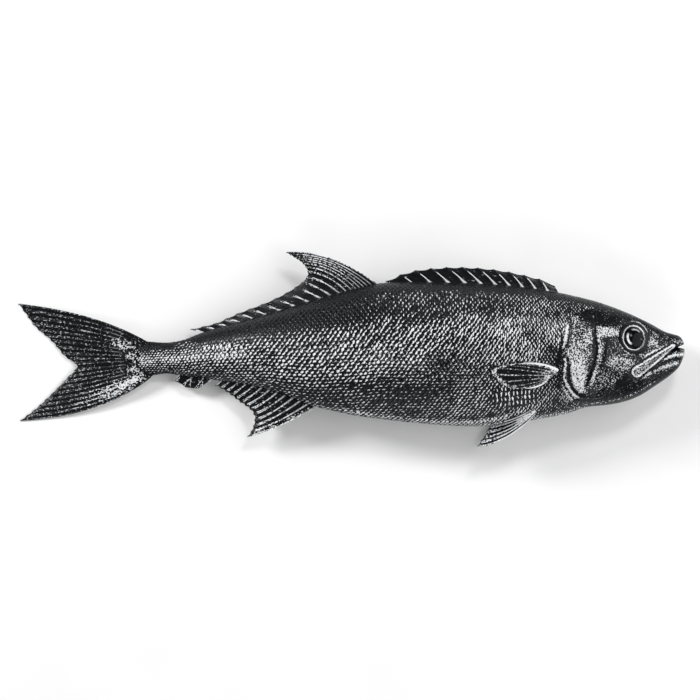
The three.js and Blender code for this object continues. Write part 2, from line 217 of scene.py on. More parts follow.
HEAD_RELIEF = [
    (plate, GILL_COVER_EDGE, 2.6, 22),
    (plate, CHEEK_PLATE_EDGE, 1.6, 12),
    (plate, GILL_MEMBRANE_EDGE, 1.5, 16),
    (plate, GILL_OPENING_RIM, 0.9, 6),
    (plate, SHOULDER_EDGE, 0.9, 3),
    (ridge, CHEEK_RIDGE, 0.8, 2),
    (ridge, MOUTH_SLIT, -3.2, 1.3, 0.05),
    (ridge, MOUTH_GAPE, -4.5, 1.2, 0.2),
    (ridge, LOWER_LIP, 1.2, 2),
    (ridge, JAW_RIDGE, 0.9, 1.6),
    (ridge, CHIN_FOLD, -0.8, 1.2),
    (club,),
    (orbit,),
    (pit, (240, -10), 9, -1.4),  # cheek muscle
    (pit, NOSTRILS[0], 1.3, 1.6),
    (pit, NOSTRILS[1], 1.1, 1.4),
]
HEAD_FROM_X = 182.0
TRUNK_STEP, HEAD_STEP = 4.0, 0.78
SKIN_TURNS = 320

BACK = through([
    (-208, 7.5), (-179, 6.5), (-164.5, 6), (-150.5, 8.5), (-135, 14.5), (-122.5, 18.5), (-93.5, 26.5),
    (-67.5, 34), (-27, 46), (0, 53.5), (20, 58.2), (33, 60), (81, 60.2), (117, 59.2), (153, 56.4),
    (187, 51.2), (209.5, 46.2), (231.5, 40), (253, 31.6), (270, 23.5), (283, 16.4), (290, 14.1),
    (301.3, 11.2),
])
BELLY = through([
    (-208, -25.3), (-179, -22.8), (-164.5, -21.3), (-150.5, -23.6), (-130.5, -25.8), (-115, -28.2),
    (-92, -31.4), (-76.5, -34.9), (-56.5, -42), (-31.5, -50.9), (-13.5, -55.3), (1, -58.4),
    (22.5, -61.6), (65.5, -66.3), (109, -68.9), (130.5, -68.4), (166.5, -62.9), (195.5, -57.4),
    (211, -52.2), (231.5, -49.9), (245.5, -47.3), (260, -42), (274.5, -33), (289, -22.8),
    (297, -15.4), (301.3, -10.5),
])
HALF_WIDTH = through([
    (-208, 0.9), (-195, 3.6), (-172, 7.5), (-150, 9.5), (-120, 13.5), (-80, 20), (-40, 26), (0, 31),
    (40, 34.5), (80, 37), (120, 37.5), (160, 36), (195, 34), (215, 31), (240, 26), (260, 21),
    (280, 15), (292, 11.5), (301.3, 9.5),
])
MIDDLE = through([
    (-302, 0.7), (-270, 1.6), (-240, 3.6), (-205, 6.4), (-172, 8), (-150, 10.5), (-120, 15.5),
    (-80, 22.5), (-40, 28.5), (0, 32.5), (40, 34), (120, 35), (190, 34), (240, 32), (302, 29),
])


def section(x):
    """The section at x: its upper and lower levels, its widest level and its half width."""
    head = np.clip((x - SNOUT_X + SNOUT_ROUND) / SNOUT_ROUND, 0, 1)
    tail = np.clip((FLESH_END_X + TAIL_ROUND - x) / TAIL_ROUND, 0, 1)
    closed = np.maximum(1 - head**2.6 - tail**2, 0) ** 0.45
    end = np.where(x > 0, SNOUT_Y, TAIL_Y)
    back = blend(end, BACK(x), closed)
    belly = blend(end, BELLY(x), closed)
    return back, belly, blend(belly, back, WIDEST), HALF_WIDTH(x) * closed


def pinch(x, upper):
    """How sharp the section is: the crown of the head is broad, and the belly is narrow."""
    crown = blend(1.02, 0.9, smooth(x, 190, 250))
    keel = blend(1.12, 1.0, smooth(x, 200, 250))
    return np.where(upper, crown, keel)


def skin_point(x, turn):
    """A point of the plain skin. A turn of 0 is the back, pi the belly, and past pi the flank below."""
    back, belly, level, half = section(x)
    up, out = np.cos(turn), np.sin(turn)
    y = level + np.where(up > 0, back - level, level - belly) * up
    z = MIDDLE(x) + half * np.sign(out) * np.abs(out) ** pinch(x, up > 0)
    return np.stack(np.broadcast_arrays(x, y, z), -1)


def share_of_depth(x, y):
    """1 on the back, 0 at the widest level and -1 on the belly."""
    back, belly, level, _ = section(x)
    depth = np.where(y > level, back - level, level - belly)
    return np.clip((y - level) / np.maximum(depth, 0.1), -1, 1)


def flank(x, y, side):
    """The height of the plain skin over a place in the outline, on one flank."""
    *_, half = section(x)
    share = share_of_depth(x, y)
    return MIDDLE(x) + side * half * np.sqrt(1 - share**2) ** pinch(x, share > 0)


def unit(vectors):
    return vectors / np.maximum(np.linalg.norm(vectors, axis=-1, keepdims=True), 1e-12)


def skin_frame(x, turn):
    """The skin's normal and its direction towards the snout."""
    nudge = 0.02
    inset = np.clip(x, FLESH_END_X + 2 * nudge, SNOUT_X - 2 * nudge)
    along = skin_point(inset + nudge, turn) - skin_point(inset - nudge, turn)
    around = skin_point(inset, turn + nudge) - skin_point(inset, turn - nudge)
    return unit(np.cross(around, along)), unit(along)


def body_point(x, turn):
    """The skin with the bones of the head on it, flattened where it rests."""
    point = skin_point(x, turn)
    normal, _ = skin_frame(x, turn)
    raised = sum(part(point[..., 0], point[..., 1], *sizes) for part, *sizes in HEAD_RELIEF)
    on_head = (x > HEAD_FROM_X) & (x < SNOUT_X)
    point = point + normal * np.where(on_head, raised, 0)[..., None]
    point[..., 2] = np.maximum(point[..., 2], 0)
    return point


def stations():
    """The places of the body's rings, close together on the head and where the body closes."""
    caps = np.linspace(0, np.pi / 2, 9)
    tail = FLESH_END_X + TAIL_ROUND * (1 - np.cos(caps))
    trunk = np.arange(tail[-1] + TRUNK_STEP, HEAD_FROM_X, TRUNK_STEP)
    head = np.arange(HEAD_FROM_X, SNOUT_X - SNOUT_ROUND, HEAD_STEP)
    snout = SNOUT_X - SNOUT_ROUND + SNOUT_ROUND * np.sin(np.linspace(0, np.pi / 2, 14))
    return np.concatenate([tail, trunk, head, snout])


def new_object(name, data):
    made = bpy.data.objects.new(name, data)
    bpy.context.scene.collection.objects.link(made)
    return made


def mesh_object(name, points=(), faces=(), edges=()):
    """A new object from points in millimetres, with its faces or edges."""
    mesh = bpy.data.meshes.new(name)
    spots = np.asarray(points, float).reshape(-1, 3) * MM
    mesh.from_pydata(spots.tolist(), np.asarray(edges).tolist(), np.asarray(faces).tolist())
    mesh.shade_smooth()
    return new_object(name, mesh)


def store(obj, name, values, kind="FLOAT"):
    """Keeps a number or a vector for each vertex, for its material and its nodes to read."""
    attribute = obj.data.attributes.new(name, kind, "POINT")
    flat = np.asarray(values, np.float32).reshape(-1)
    attribute.data.foreach_set("vector" if kind == "FLOAT_VECTOR" else "value", flat)


def grid_faces(grid):
    """The four-sided faces of a grid, from the numbers of its points."""
    return np.stack([grid[:-1, :-1], grid[1:, :-1], grid[1:, 1:], grid[:-1, 1:]], -1).reshape(-1, 4)


def numbered(*shape):
    return np.arange(np.prod(shape)).reshape(shape)


def tube_faces(rings, turns):
    """The faces of a tube of rings, with its normals outwards."""
    grid = numbered(rings, turns)
    return grid_faces(np.hstack([grid, grid[:, :1]]))[:, [0, 3, 2, 1]]


skin_x, skin_turn = np.meshgrid(
    stations(), np.arange(SKIN_TURNS) / SKIN_TURNS * 2 * np.pi, indexing="ij",
)
skin_points = body_point(skin_x, skin_turn)
skin = mesh_object("skin", skin_points, tube_faces(*skin_x.shape))


def feed(socket, value):
    """Links a wire to a socket, or sets the socket to a value."""
    if isinstance(value, Wire):
        value.tree.links.new(value.socket, socket)
    else:
        socket.default_value = value


class Wire:
    """An output of a node. Arithmetic on it adds Math nodes to its tree."""

    def __init__(self, tree, socket=None):
        self.tree, self.socket = tree, socket

    def node(self, kind, inputs=(), output=None, **settings):
        """Adds a node: first its settings, then values or links for its sockets, by name or place."""
        made = self.tree.nodes.new(kind)
        for name, value in settings.items():
            setattr(made, name, value)
        for name, value in dict(inputs).items():
            found = [s for s in made.inputs if s.enabled and s.name == name]
            feed(made.inputs[name] if isinstance(name, int) else found[0], value)
        outputs = [s for s in made.outputs if s.enabled and output in (None, s.name)]
        return Wire(self.tree, outputs[0])

    def math(self, operation, *values):
        return self.node("ShaderNodeMath", enumerate(values), operation=operation)

    def __add__(self, other):
        return self.math("ADD", self, other)

    def __sub__(self, other):
        return self.math("SUBTRACT", self, other)

    def __mul__(self, other):
        return self.math("MULTIPLY", self, other)

    def __truediv__(self, other):
        return self.math("DIVIDE", self, other)

    def __rsub__(self, other):
        return self.math("SUBTRACT", other, self)

    __radd__, __rmul__ = __add__, __mul__

    def rise(self, low, high):
        """Goes smoothly from 0 to 1 between two values."""
        return self.node("ShaderNodeMapRange", {"Value": self, "From Min": low, "From Max": high},
                         interpolation_type="SMOOTHSTEP")

    def mix(self, a, b):
        """Colour a where this is 0, and b where it is 1."""
        return self.node("ShaderNodeMix", {"Factor": self, "A": a, "B": b}, data_type="RGBA")

    def attribute(self, name, output="Fac"):
        return self.node("ShaderNodeAttribute", output=output, attribute_name=name)

    def noise(self, size, detail=2.0, spread=3.0, stretch=(1, 1, 1), where=None):
        """A cloud from about 0 to 1, with blots of that size in millimetres."""
        where = where or self.node("ShaderNodeTexCoord", output="Object")
        where = self.node("ShaderNodeMapping", {"Vector": where, "Scale": stretch})
        cloud = self.node("ShaderNodeTexNoise",
                          {"Vector": where, "Scale": 1 / (size * MM), "Detail": detail})
        return (cloud - 0.5) * spread + 0.5

    def bump(self, height, depth):
        """A normal from a height between 0 and 1, where 1 stands depth millimetres high."""
        return self.node("ShaderNodeBump", {"Height": height, "Distance": depth * MM, "Strength": 1.0})


def new_material(name):
    made = bpy.data.materials.new(name)
    made.use_nodes = True
    return made, Wire(made.node_tree)


def finish(made, sockets, gloss=()):
    """Sets or links a shader's sockets. Gloss is its specular level, coat and coat roughness."""
    shader = made.node_tree.nodes["Principled BSDF"]
    shine = dict(zip(("Specular IOR Level", "Coat Weight", "Coat Roughness"), gloss))
    for name, value in {**sockets, **shine}.items():
        feed(shader.inputs[name], value)


def oval(x, y, at_x, at_y, half_length, half_height, turn=0.0):
    """A soft oval mark, turned by degrees."""
    c, s = np.cos(np.radians(turn)), np.sin(np.radians(turn))
    u = ((x - at_x) * c + (y - at_y) * s) / half_length
    v = ((y - at_y) * c - (x - at_x) * s) / half_height
    return smooth(1.3 - np.hypot(u, v), 0, 0.6)


def streak(x, y, points, width):
    """A soft mark along a line."""
    distance, _, along = measured(x, y, points)
    return hump(distance, 0, width) * fade(along, 0.08)


def marked(value, x, y, marks, strength=1.0):
    """Lays marks over a value. A mark is an oval or a streak, and its own value comes last."""
    for *mark, level in marks:
        mask = streak if len(mark) == 2 else oval
        value = blend(value, level, strength * mask(x, y, *mark))
    return value


def moved(points, dx, dy=0.0):
    return [(x + dx, y + dy) for x, y in points]


# How pale the parts of the head are, from 0, black, to 1, silver. A mark is an oval, by its place, half
# sizes and turn, or a streak, by its line and width, and it lies over the marks before it.
CHEEK_PALE, CROWN_PALE, THROAT_PALE, THROAT_LINE_PALE, JAW_PALE = 0.29, 0.12, 0.13, 0.4, 0.44
BODY_PALE = 0.1  # between the scales
CROWN_SHADE = through([
    (190, 32), (205, 29), (222, 21), (240, 22), (252, 25), (266, 19), (280, 12), (301, 8),
])
THROAT_SHADE = through([(186, -52), (212, -39), (235, -34), (257, -29), (275, -22), (301, -10)])
THROAT_LINE = [(206, -49.5), (226, -47.5), (246, -43), (262, -36), (276, -27)]
# The line of the gill slit, where painted shadow lies in the gill opening.
GILL_SLIT_SHADOW = [(193.5, -6), (194.5, -20), (197, -32), (204, -40.5), (211, -40)]
HEAD_MARKS = [
    (180, -46, 22, 9, -12, 0.6), (205, -2, 9, 12, 0, 0.51), (204, -22, 7.5, 16, 8, 0.64),
    (205, -31, 5, 7, 8, 0.64), (207, 17, 6, 8, 0, 0.36), (216, 12, 9, 6, 30, 0.58),
    (228, 15.5, 14, 4.5, -4, 0.61), (226, -14, 5, 16, 5, 0.3), (236, 4, 6, 7, 0, 0.22),
    (242, -12, 13, 6, -8, 0.5), (232, -27, 12, 5, -8, 0.4), (247, -27.5, 12, 4, 28, 0.06),
    (269, 7, 8, 4.5, -30, 0.52), (283, -1, 6, 3.5, 20, 0.28), (276, 16, 4, 2.5, 20, 0.46),
    (294, 8, 6, 3, -20, 0.45),
    ([(263, -7), (272, -2), (285, 3.5)], 1, 0.9),
    ([(265, -9.5), (274, -4), (287, 2.6)], 1, 0),
    (moved(CHEEK_PLATE_EDGE, 2.8), 1.9, 0.62),
    # The black streak just behind the cheek plate's edge is painted shade at the foot of the plate.
    (moved(CHEEK_PLATE_EDGE, -0.8), 1.7, 0),
    (CHEEK_RIDGE, 1.5, 0),
    (moved(GILL_COVER_EDGE, 1.9), 1.5, 0.68),
    (moved(GILL_COVER_EDGE[:5], 2.2), 1.7, 0.5),
    # These two black streaks, down the gill slit and between the shoulder and the gill cover, are
    # painted shadow in the gill opening.
    (GILL_SLIT_SHADOW, 1.5, 0),
    (moved(SHOULDER_EDGE, 3.2), 1.3, 0),
    (SHOULDER_EDGE, 1.6, 0.95),
    (GILL_MEMBRANE_EDGE, 1.1, 0.9),
    (GILL_OPENING_RIM, 1.2, 0.66),
    # The black streaks along the mouth slit, under the lower lip and in the chin fold are painted shade
    # in these grooves.
    (MOUTH_SLIT, 2, 0),
    (JAW_RIDGE, 1.7, 0.66),
    (LOWER_LIP, 2, 0.72),
    (moved(LOWER_LIP, 1, -3.4), 1.1, 0),
    (CHIN_FOLD, 1.3, 0),
]


def head_paleness(x, y):
    pale = marked(np.full(np.shape(x), CHEEK_PALE), x, y, HEAD_MARKS)
    pale = blend(pale, CROWN_PALE, smooth(y - CROWN_SHADE(x), -1.5, 2.5))
    pale = blend(pale, THROAT_PALE, smooth(THROAT_SHADE(x) - y, -1, 2.5))
    pale = blend(pale, THROAT_LINE_PALE, streak(x, y, THROAT_LINE, 1.0))
    outside = club_distance(x, y)
    # A black line in the groove round the jaw bone is painted shade.
    pale = blend(pale, 0.0, hump(outside, 1.1, 1.0))
    pale = blend(pale, JAW_PALE, smooth(-outside, -0.5, 0.6))
    pale = blend(pale, 1.0, hump(outside, -0.5, 0.7))
    out = from_eye(x, y)
    pale = blend(pale, 0.0, smooth(1.45 - out, 0, 0.2))
    corner = np.abs((x - EYE_AT[0]) * 0.6 + (y - EYE_AT[1]) * 0.8) / 11
    pale = blend(pale, 0.62, hump(out, 1.3, 0.06) * smooth(corner, 0.8, 1.2))
    return blend(pale, 1.2, hump(out, 0.935, 0.055))


on_head = smooth(skin_x, 184, 194)
store(skin, "pale", blend(BODY_PALE, head_paleness(skin_points[..., 0], skin_points[..., 1]), on_head))

INK = (0.0025, 0.003, 0.004, 1)
SLATE = (0.008, 0.0092, 0.0115, 1)
SILVER = (0.78, 0.80, 0.82, 1)

wet_skin, wire = new_material("wet_skin")
pale = wire.attribute("pale")
mottle = wire.noise(1.3, 2.5, 3.6)
patch = (mottle * 0.9 + pale * 1.45).rise(1.13, 1.3)
ground = wire.noise(9, 3.0, 2.0).mix(INK, SLATE)
sheen = (0.5 + 0.5 * pale) * patch
finish(wet_skin, {
    "Base Color": sheen.mix(ground, SILVER),
    "Roughness": 0.22 + 0.1 * mottle,
    "Normal": wire.bump(mottle * 0.7 + wire.noise(0.6, 1.0) * 0.3, 0.05),
}, gloss=(0.12, 0.07, 0.07))
skin.data.materials.append(wet_skin)


# The scales
# Some four thousand thin horny plates on each flank. Each grows from a pocket in the skin, overlaps
# the next one towards the tail like a roof tile, and shows a silver streak on its dark free end.
# They stand in rows that draw together towards the tail, and stop at the shoulder and the tail's root.
SCALE_PITCH = through([
    (-208, 2.4), (-180, 2.8), (-150, 3.3), (-100, 4.1), (-40, 4.6), (20, 4.5), (100, 4.0), (160, 3.5),
    (200, 3.1), (240, 2.7),
])
ROW_GAP = 0.7  # between two rows, as a share of the pitch along a row
SCALE_FRONT, SCALE_REAR = 0.85, 0.70  # how far a scale reaches from its middle, in pitches
SCALE_HALF_WIDTH = 0.75
SCALE_SINK, SCALE_LIFT = 0.10, 0.07
SHOULDER_END = [
    (212, -52), (203, -47), (194, -42), (188, -34), (185, -22), (184, -10), (186, 0), (190, 12),
    (195, 27), (205, 33), (222, 38), (238, 46),
]
TAIL_END_X = (-202, -185)  # the scales thin out between these
STREAK_LEAN = through([
    (-208, 15), (-150, 24), (-100, 30), (-50, 37), (50, 44), (110, 55), (150, 70), (175, 86),
    (200, 100),
])
# How much of each scale is silver. A light band runs along the flank between these two levels, partly
# the fish's own silver and partly a painted highlight, and the back above it is all but black. Marks
# over the band are thinner or thicker silver, and a few beside the fins are painted shadow.
SILVER_AND_HIGHLIGHT_TOP = through([
    (-208, -3), (-150, 0), (-120, 5), (-90, 9), (-60, 12), (-30, 15), (0, 18), (20, 22), (60, 26),
    (100, 26), (140, 31), (165, 35), (185, 36), (205, 35),
])
SILVER_AND_HIGHLIGHT_BOTTOM = through([
    (-208, -17), (-150, -15), (-120, -18), (-90, -25), (-50, -31), (0, -28), (40, -24), (60, -16),
    (80, -9), (100, -9), (140, -12), (165, -14), (190, -20),
])
UPPER_QUIET = through([
    (-208, 0.1), (-100, 0.0), (0, 0.06), (50, 0.2), (110, 0.28), (170, 0.3), (210, 0.3),
])
LOWER_QUIET, SILVER_AND_HIGHLIGHT_SHINE, BELLY_EDGE_SHINE = 0.3, 0.95, 1.1
BELLY_LINE = [(166, -51), (155, -54), (147, -58), (128, -63), (90, -65.5), (27, -60), (-10, -53)]
LATERAL_LINE = [
    (194, 27), (150, 33), (104, 31), (60, 22), (10, 11), (-50, 3), (-120, -2), (-190, -8),
]
FLANK_MARKS = [
    (125, -46, 48, 17, 4, 0.66), (60, -38, 34, 9, 10, 0.12), (165, -46, 16, 8, 8, 0.75),
    (86, -8, 17, 9, 0, 0.3), (172, 18, 15, 24, 0, 0.6), (192, 30, 13, 7, 0, 0.22),
    # The dark oval at (152, -24) is painted shadow under the breast fin.
    (108, 23, 22, 8, 4, 0.66), (181, -8, 9, 13, 0, 0.06), (152, -24, 24, 12, -4, 0.1),
    (147, -42, 18, 8, 4, 1.28),
    # This black streak, and the one after BELLY_LINE, are painted shadow along the belly fin's edge.
    ([(160, -49), (150, -53), (128, -59), (105, -62)], 1.6, 0.05),
    (BELLY_LINE, 1.5, 2),
    ([(165, -54), (153, -58), (142, -61.5)], 1.4, 0),
    (90, 11, 7, 6, 0, 0.55), (-114, -2, 26, 6.5, 4, 1.75), (-150, -7, 26, 3.5, 4, 1.5),
    (-186, -10, 12, 4, 2, 1.4), (116, -22, 14, 8, 0, 0.55), (27, -7, 15, 9, 0, 1.2),
    (62, 18, 18, 6, 10, 1.12), (144, 13, 14, 9, 0, 1.15), (-45, 4, 12, 7, 0, 1.15),
    (-148, 5, 10, 4, 0, 0.4),
    (LATERAL_LINE, 1.3, 0.3),
]
# Under the breast fin the streaks stand upright on every second row, so that they join in short bars;
# the bars, with darker rows between them, are painted shade below the fin.
UPRIGHT, UPRIGHT_LEAN = (147, -41, 21, 10), 99
SHADE_BARRED = (147, -42, 20, 9, 4)
COLUMNS, ROWS = 140, 62  # places for scales on one flank
SCALE_SEED = 11


def flank_shine(x, y):
    share = share_of_depth(x, y)
    soft = blend(2.5, 7.5, smooth(x, -190, -60))
    # The light band is the fish's own silver and partly a painted highlight along the flank.
    band = smooth((SILVER_AND_HIGHLIGHT_TOP(x) - y) / soft, -1, 1) * smooth((y - SILVER_AND_HIGHLIGHT_BOTTOM(x)) / soft, -1, 1)
    shine = blend(blend(LOWER_QUIET, UPPER_QUIET(x), smooth(share, -0.1, 0.1)), SILVER_AND_HIGHLIGHT_SHINE, band)
    shine = marked(shine, x, y, FLANK_MARKS, 0.85) * (1 - smooth(share, 0.8, 0.93))
    return blend(shine, BELLY_EDGE_SHINE, smooth(-share, 0.945, 0.97) * smooth(x, -60, -20))


def streak_lean(x, y):
    """The angle of the streaks in degrees, flatter on the belly and steeper towards the back."""
    lean = STREAK_LEAN(x) + np.clip(0.55 * y, -14, 12)
    lean = blend(lean, 88, smooth(y - SILVER_AND_HIGHLIGHT_TOP(x), -2, 10) * smooth(x, -20, 40))
    return blend(lean, UPRIGHT_LEAN, oval(x, y, *UPRIGHT))


def row_map():
    """Places on the skin along the body and across it, for the two flanks apart, each from 0 to 1."""
    x = skin_x[:, 0]
    dense = np.linspace(FLESH_END_X, SNOUT_X, 4001)
    run = np.concatenate([[0], np.cumsum(np.diff(dense) / SCALE_PITCH(dense[1:]))])
    columns = np.interp(x, dense, run)
    half = SKIN_TURNS // 2
    girth = run_along(np.concatenate([skin_points, skin_points[:, :1]], axis=1))
    shown = girth[:, half // 2, None] - girth[:, :half + 1]
    under = girth[:, half:] - girth[:, half + half // 2, None]
    rows = np.stack([shown, under]) / (SCALE_PITCH(x)[:, None] * ROW_GAP)
    return columns / COLUMNS, rows / ROWS + 0.5


columns, rows = row_map()
ring, turn = np.meshgrid(np.arange(len(columns) - 1), np.arange(SKIN_TURNS), indexing="ij")
side, step = np.divmod(turn, SKIN_TURNS // 2)
corners = []
for ring_next, step_next in ((0, 0), (0, 1), (1, 1), (1, 0)):
    place = ring + ring_next
    corners.append(np.stack([columns[place], (rows[side, place, step + step_next] + side) / 2], -1))
layer = skin.data.uv_layers.new(name="rows")
layer.uv.foreach_set("vector", np.stack(corners, 2).astype(np.float32).reshape(-1))

_, skin_forward = skin_frame(skin_x, skin_turn)
plain_x, plain_y = skin_points[..., 0], skin_points[..., 1]
flank_side = np.where(np.sin(skin_turn) < -1e-6, UNDER, SHOWN)
shoulder_x = np.interp(plain_y, *np.array(sorted(SHOULDER_END, key=lambda p: p[1])).T[::-1])
store(skin, "scaly", smooth(plain_x, *TAIL_END_X) * (plain_x < shoulder_x))
store(skin, "forward", skin_forward, "FLOAT_VECTOR")
store(skin, "shine", flank_shine(plain_x, plain_y))
store(skin, "lean", np.radians(streak_lean(plain_x, plain_y)) * flank_side)
store(skin, "pitch", SCALE_PITCH(plain_x))
store(skin, "barred", smooth(oval(plain_x, plain_y, *SHADE_BARRED), 0.1, 0.45))


def new_tree(name, inputs):
    """A Geometry Nodes tree, and a wire from each of its named inputs."""
    tree = bpy.data.node_groups.new(name, "GeometryNodeTree")
    tree.interface.new_socket("Geometry", in_out="OUTPUT", socket_type="NodeSocketGeometry")
    for title, kind in inputs.items():
        tree.interface.new_socket(title, in_out="INPUT", socket_type="NodeSocket" + kind)
    group = tree.nodes.new("NodeGroupInput")
    return [Wire(tree, group.outputs[title]) for title in inputs]


def end_tree(geometry, material):
    """Makes the copies in a tree real, and gives them their material."""
    real = geometry.node("GeometryNodeRealizeInstances", {"Geometry": geometry})
    done = real.node("GeometryNodeSetMaterial", {"Geometry": real, "Material": material})
    group = done.tree.nodes.new("NodeGroupOutput")
    done.tree.links.new(done.socket, group.inputs[0])
    return done.tree


def grown(obj, tree, values):
    """Runs a tree on an object and keeps what it makes as the object's own mesh."""
    modifier = obj.modifiers.new(tree.name, "NODES")
    modifier.node_group = tree
    for item in tree.interface.items_tree:
        if item.name in values:
            modifier[item.identifier] = values[item.name]
    graph = bpy.context.evaluated_depsgraph_get()
    mesh = bpy.data.meshes.new_from_object(obj.evaluated_get(graph))
    obj.modifiers.clear()
    obj.data = mesh
    return obj


def one_scale():
    """A scale one pitch long, bowed, with its rounded free end towards -X and a lip under that end."""
    u, v = np.meshgrid(np.linspace(0, 1, 4), np.linspace(-1, 1, 5), indexing="ij")
    rear = -SCALE_REAR * (1 - 0.75 * v**2)
    x = blend(SCALE_FRONT, rear, u)
    y = SCALE_HALF_WIDTH * v * (0.9 + 0.1 * u)
    z = blend(-SCALE_SINK, SCALE_LIFT, u) - 0.07 * v**2
    lip = np.stack([x[-1] + 0.02, y[-1], z[-1] - 0.08], -1)[None]
    points = np.concatenate([np.stack([x, y, z], -1), lip])
    made = mesh_object("one_scale", points, grid_faces(numbered(*points.shape[:2])))
    store(made, "face", points * [1, 1, 0], "FLOAT_VECTOR")
    return made


# In pitches: how far back the streak is, and half its width and length, bare and what full silver adds.
STREAK_BACK, STREAK_WIDTH, STREAK_LENGTH = 0.27, (0.07, 0.11), (0.14, 0.62)

horn, wire = new_material("scale_horn")
face = wire.attribute("face", "Vector")
along = wire.node("ShaderNodeSeparateXYZ", {"Vector": face}, "X")
across = Wire(along.tree, along.socket.node.outputs["Y"])
lean = wire.attribute("lean")
shine = wire.attribute("shine")
chance = wire.attribute("chance")
cosine, sine = wire.math("COSINE", lean), wire.math("SINE", lean)
mid_along = along + STREAK_BACK + (chance - 0.5) * 0.24
reach = mid_along * cosine + across * sine
aside = across * cosine - mid_along * sine
drift = wire.noise(17, 3.0, 2.8, (0.6, 1, 1))
clump = wire.noise(5.5, 2.0, 2.6)
level = shine * (0.2 + 0.5 * drift + 0.6 * clump) + (chance - 0.5) * 0.4 * shine.rise(0.0, 0.3) - 0.03
half_width = STREAK_WIDTH[0] + STREAK_WIDTH[1] * level
half_length = STREAK_LENGTH[0] + STREAK_LENGTH[1] * level
ragged = wire.noise(0.9, 2.0, 2.0)
aside = (aside + (wire.noise(2.6, 1.0, 2.0) - 0.5) * 0.3) / half_width
reach = reach / half_length
rim = reach * reach + aside * aside
silver = (1.2 - rim + (ragged - 0.5) * 1.2).rise(0.0, 0.4) * level.rise(0.02, 0.1)
merged = (shine + (wire.noise(1.6, 2.0, 2.6) - 0.5) * 1.1).rise(1.5, 1.62)
silver = wire.math("MAXIMUM", silver, merged)
free_end = (-0.52 - along).rise(0.0, 0.12)
ground = (wire.noise(11, 2.0, 2.0) * 0.4 + chance * 0.3 + free_end * 0.25).mix(INK, SLATE)
finish(horn, {
    "Base Color": (silver * (0.75 + 0.25 * level)).mix(ground, SILVER),
    "Roughness": 0.22 + 0.1 * ragged,
    "Normal": wire.bump(silver * 0.5 + ragged * 0.5, 0.05),
}, gloss=(0.16, 0.1, 0.08))


def mesh_of(wire):
    """The mesh of the object that a wire brings."""
    return wire.node("GeometryNodeObjectInfo", {"Object": wire}, "Geometry")


def stored(wire, name, kind="FLOAT"):
    """A value that each vertex or point keeps."""
    return wire.node("GeometryNodeInputNamedAttribute", {"Name": name}, data_type=kind)


def keep(wire, name, value, kind="FLOAT"):
    """Stores a value on each point, for the nodes and the shader to read."""
    return wire.node("GeometryNodeStoreNamedAttribute",
                     {"Geometry": wire, "Name": name, "Value": value}, data_type=kind)


inputs = {"Skin": "Object", "Scale": "Object"}
inputs.update(dict.fromkeys(("Columns", "Rows", "Flank", "Seed"), "Int"))
skin_in, scale_in, columns_in, rows_in, flank_in, seed_in = new_tree("scale_rows", inputs)
source = mesh_of(skin_in)
count = columns_in * rows_in
points = count.node("GeometryNodePoints", {"Count": count})
index = count.node("GeometryNodeInputIndex")
row = count.math("FLOOR", (index + 0.5) / columns_in)
column = index - row * columns_in
stagger = count.math("MODULO", row, 2.0) * 0.5


def wander(seed_shift, spread):
    """A random number for each scale."""
    return count.node("FunctionNodeRandomValue", {2: -spread, 3: spread, "Seed": seed_in + seed_shift})


place = count.node("ShaderNodeCombineXYZ", {
    "X": (column + stagger + wander(0, 0.12)) / columns_in,
    "Y": ((row + wander(1, 0.12)) / rows_in + flank_in) * 0.5,
})
rows_map = stored(source, "rows", "FLOAT_VECTOR")


def sampled(value, kind="FLOAT", output="Value"):
    """A value of the skin where a scale stands on it: a wire, or the name of a stored one."""
    value = stored(source, value, kind) if isinstance(value, str) else value
    sockets = {"Mesh": source, "Value": value, "UV Map": rows_map, "Sample UV": place}
    return source.node("GeometryNodeSampleUVSurface", sockets, output, data_type=kind)


on_skin = source.node("GeometryNodeInputPosition")
skin_up = source.node("GeometryNodeInputNormal", output="Normal")
is_scaly = sampled("scaly") * sampled("scaly", output="Is Valid")
missing = source.math("LESS_THAN", is_scaly, 0.5 + wander(4, 0.45))
up = sampled(skin_up, "FLOAT_VECTOR")
forward = sampled("forward", "FLOAT_VECTOR")
turned = source.node("FunctionNodeAxesToRotation", {"Primary Axis": up, "Secondary Axis": forward})
chance = count.node("FunctionNodeRandomValue", {2: 0.0, 3: 1.0, "Seed": seed_in + 2})
spot = sampled(on_skin, "FLOAT_VECTOR")
# Every second row below the breast fin loses its silver: painted shade below the fin.
points = keep(points, "shine", sampled("shine") * (1.0 - stagger * 2.0 * sampled("barred")))
points = keep(points, "lean", sampled("lean") + wander(3, 0.2))
points = keep(points, "size", sampled("pitch"))
points = keep(points, "chance", chance)
points = keep(points, "missing", missing)
points = keep(points, "turned", turned, "QUATERNION")
points = points.node("GeometryNodeSetPosition", {"Geometry": points, "Position": spot})
outside = points.math("GREATER_THAN", stored(points, "missing"), 0.5)
points = points.node("GeometryNodeDeleteGeometry", {"Geometry": points, "Selection": outside})
tiles = points.node("GeometryNodeInstanceOnPoints", {
    "Points": points,
    "Instance": mesh_of(scale_in),
    "Rotation": stored(points, "turned", "QUATERNION"),
    "Scale": stored(points, "size"),
})
tiles = tiles.node("GeometryNodeRealizeInstances", {"Geometry": tiles})
LOWEST = (-9, -9, 0)  # in metres: only the height is held, at the table
lifted = tiles.node("ShaderNodeVectorMath", {0: on_skin, 1: LOWEST}, operation="MAXIMUM")
tiles = tiles.node("GeometryNodeSetPosition", {"Geometry": tiles, "Position": lifted})
scale_tree = end_tree(tiles, horn)

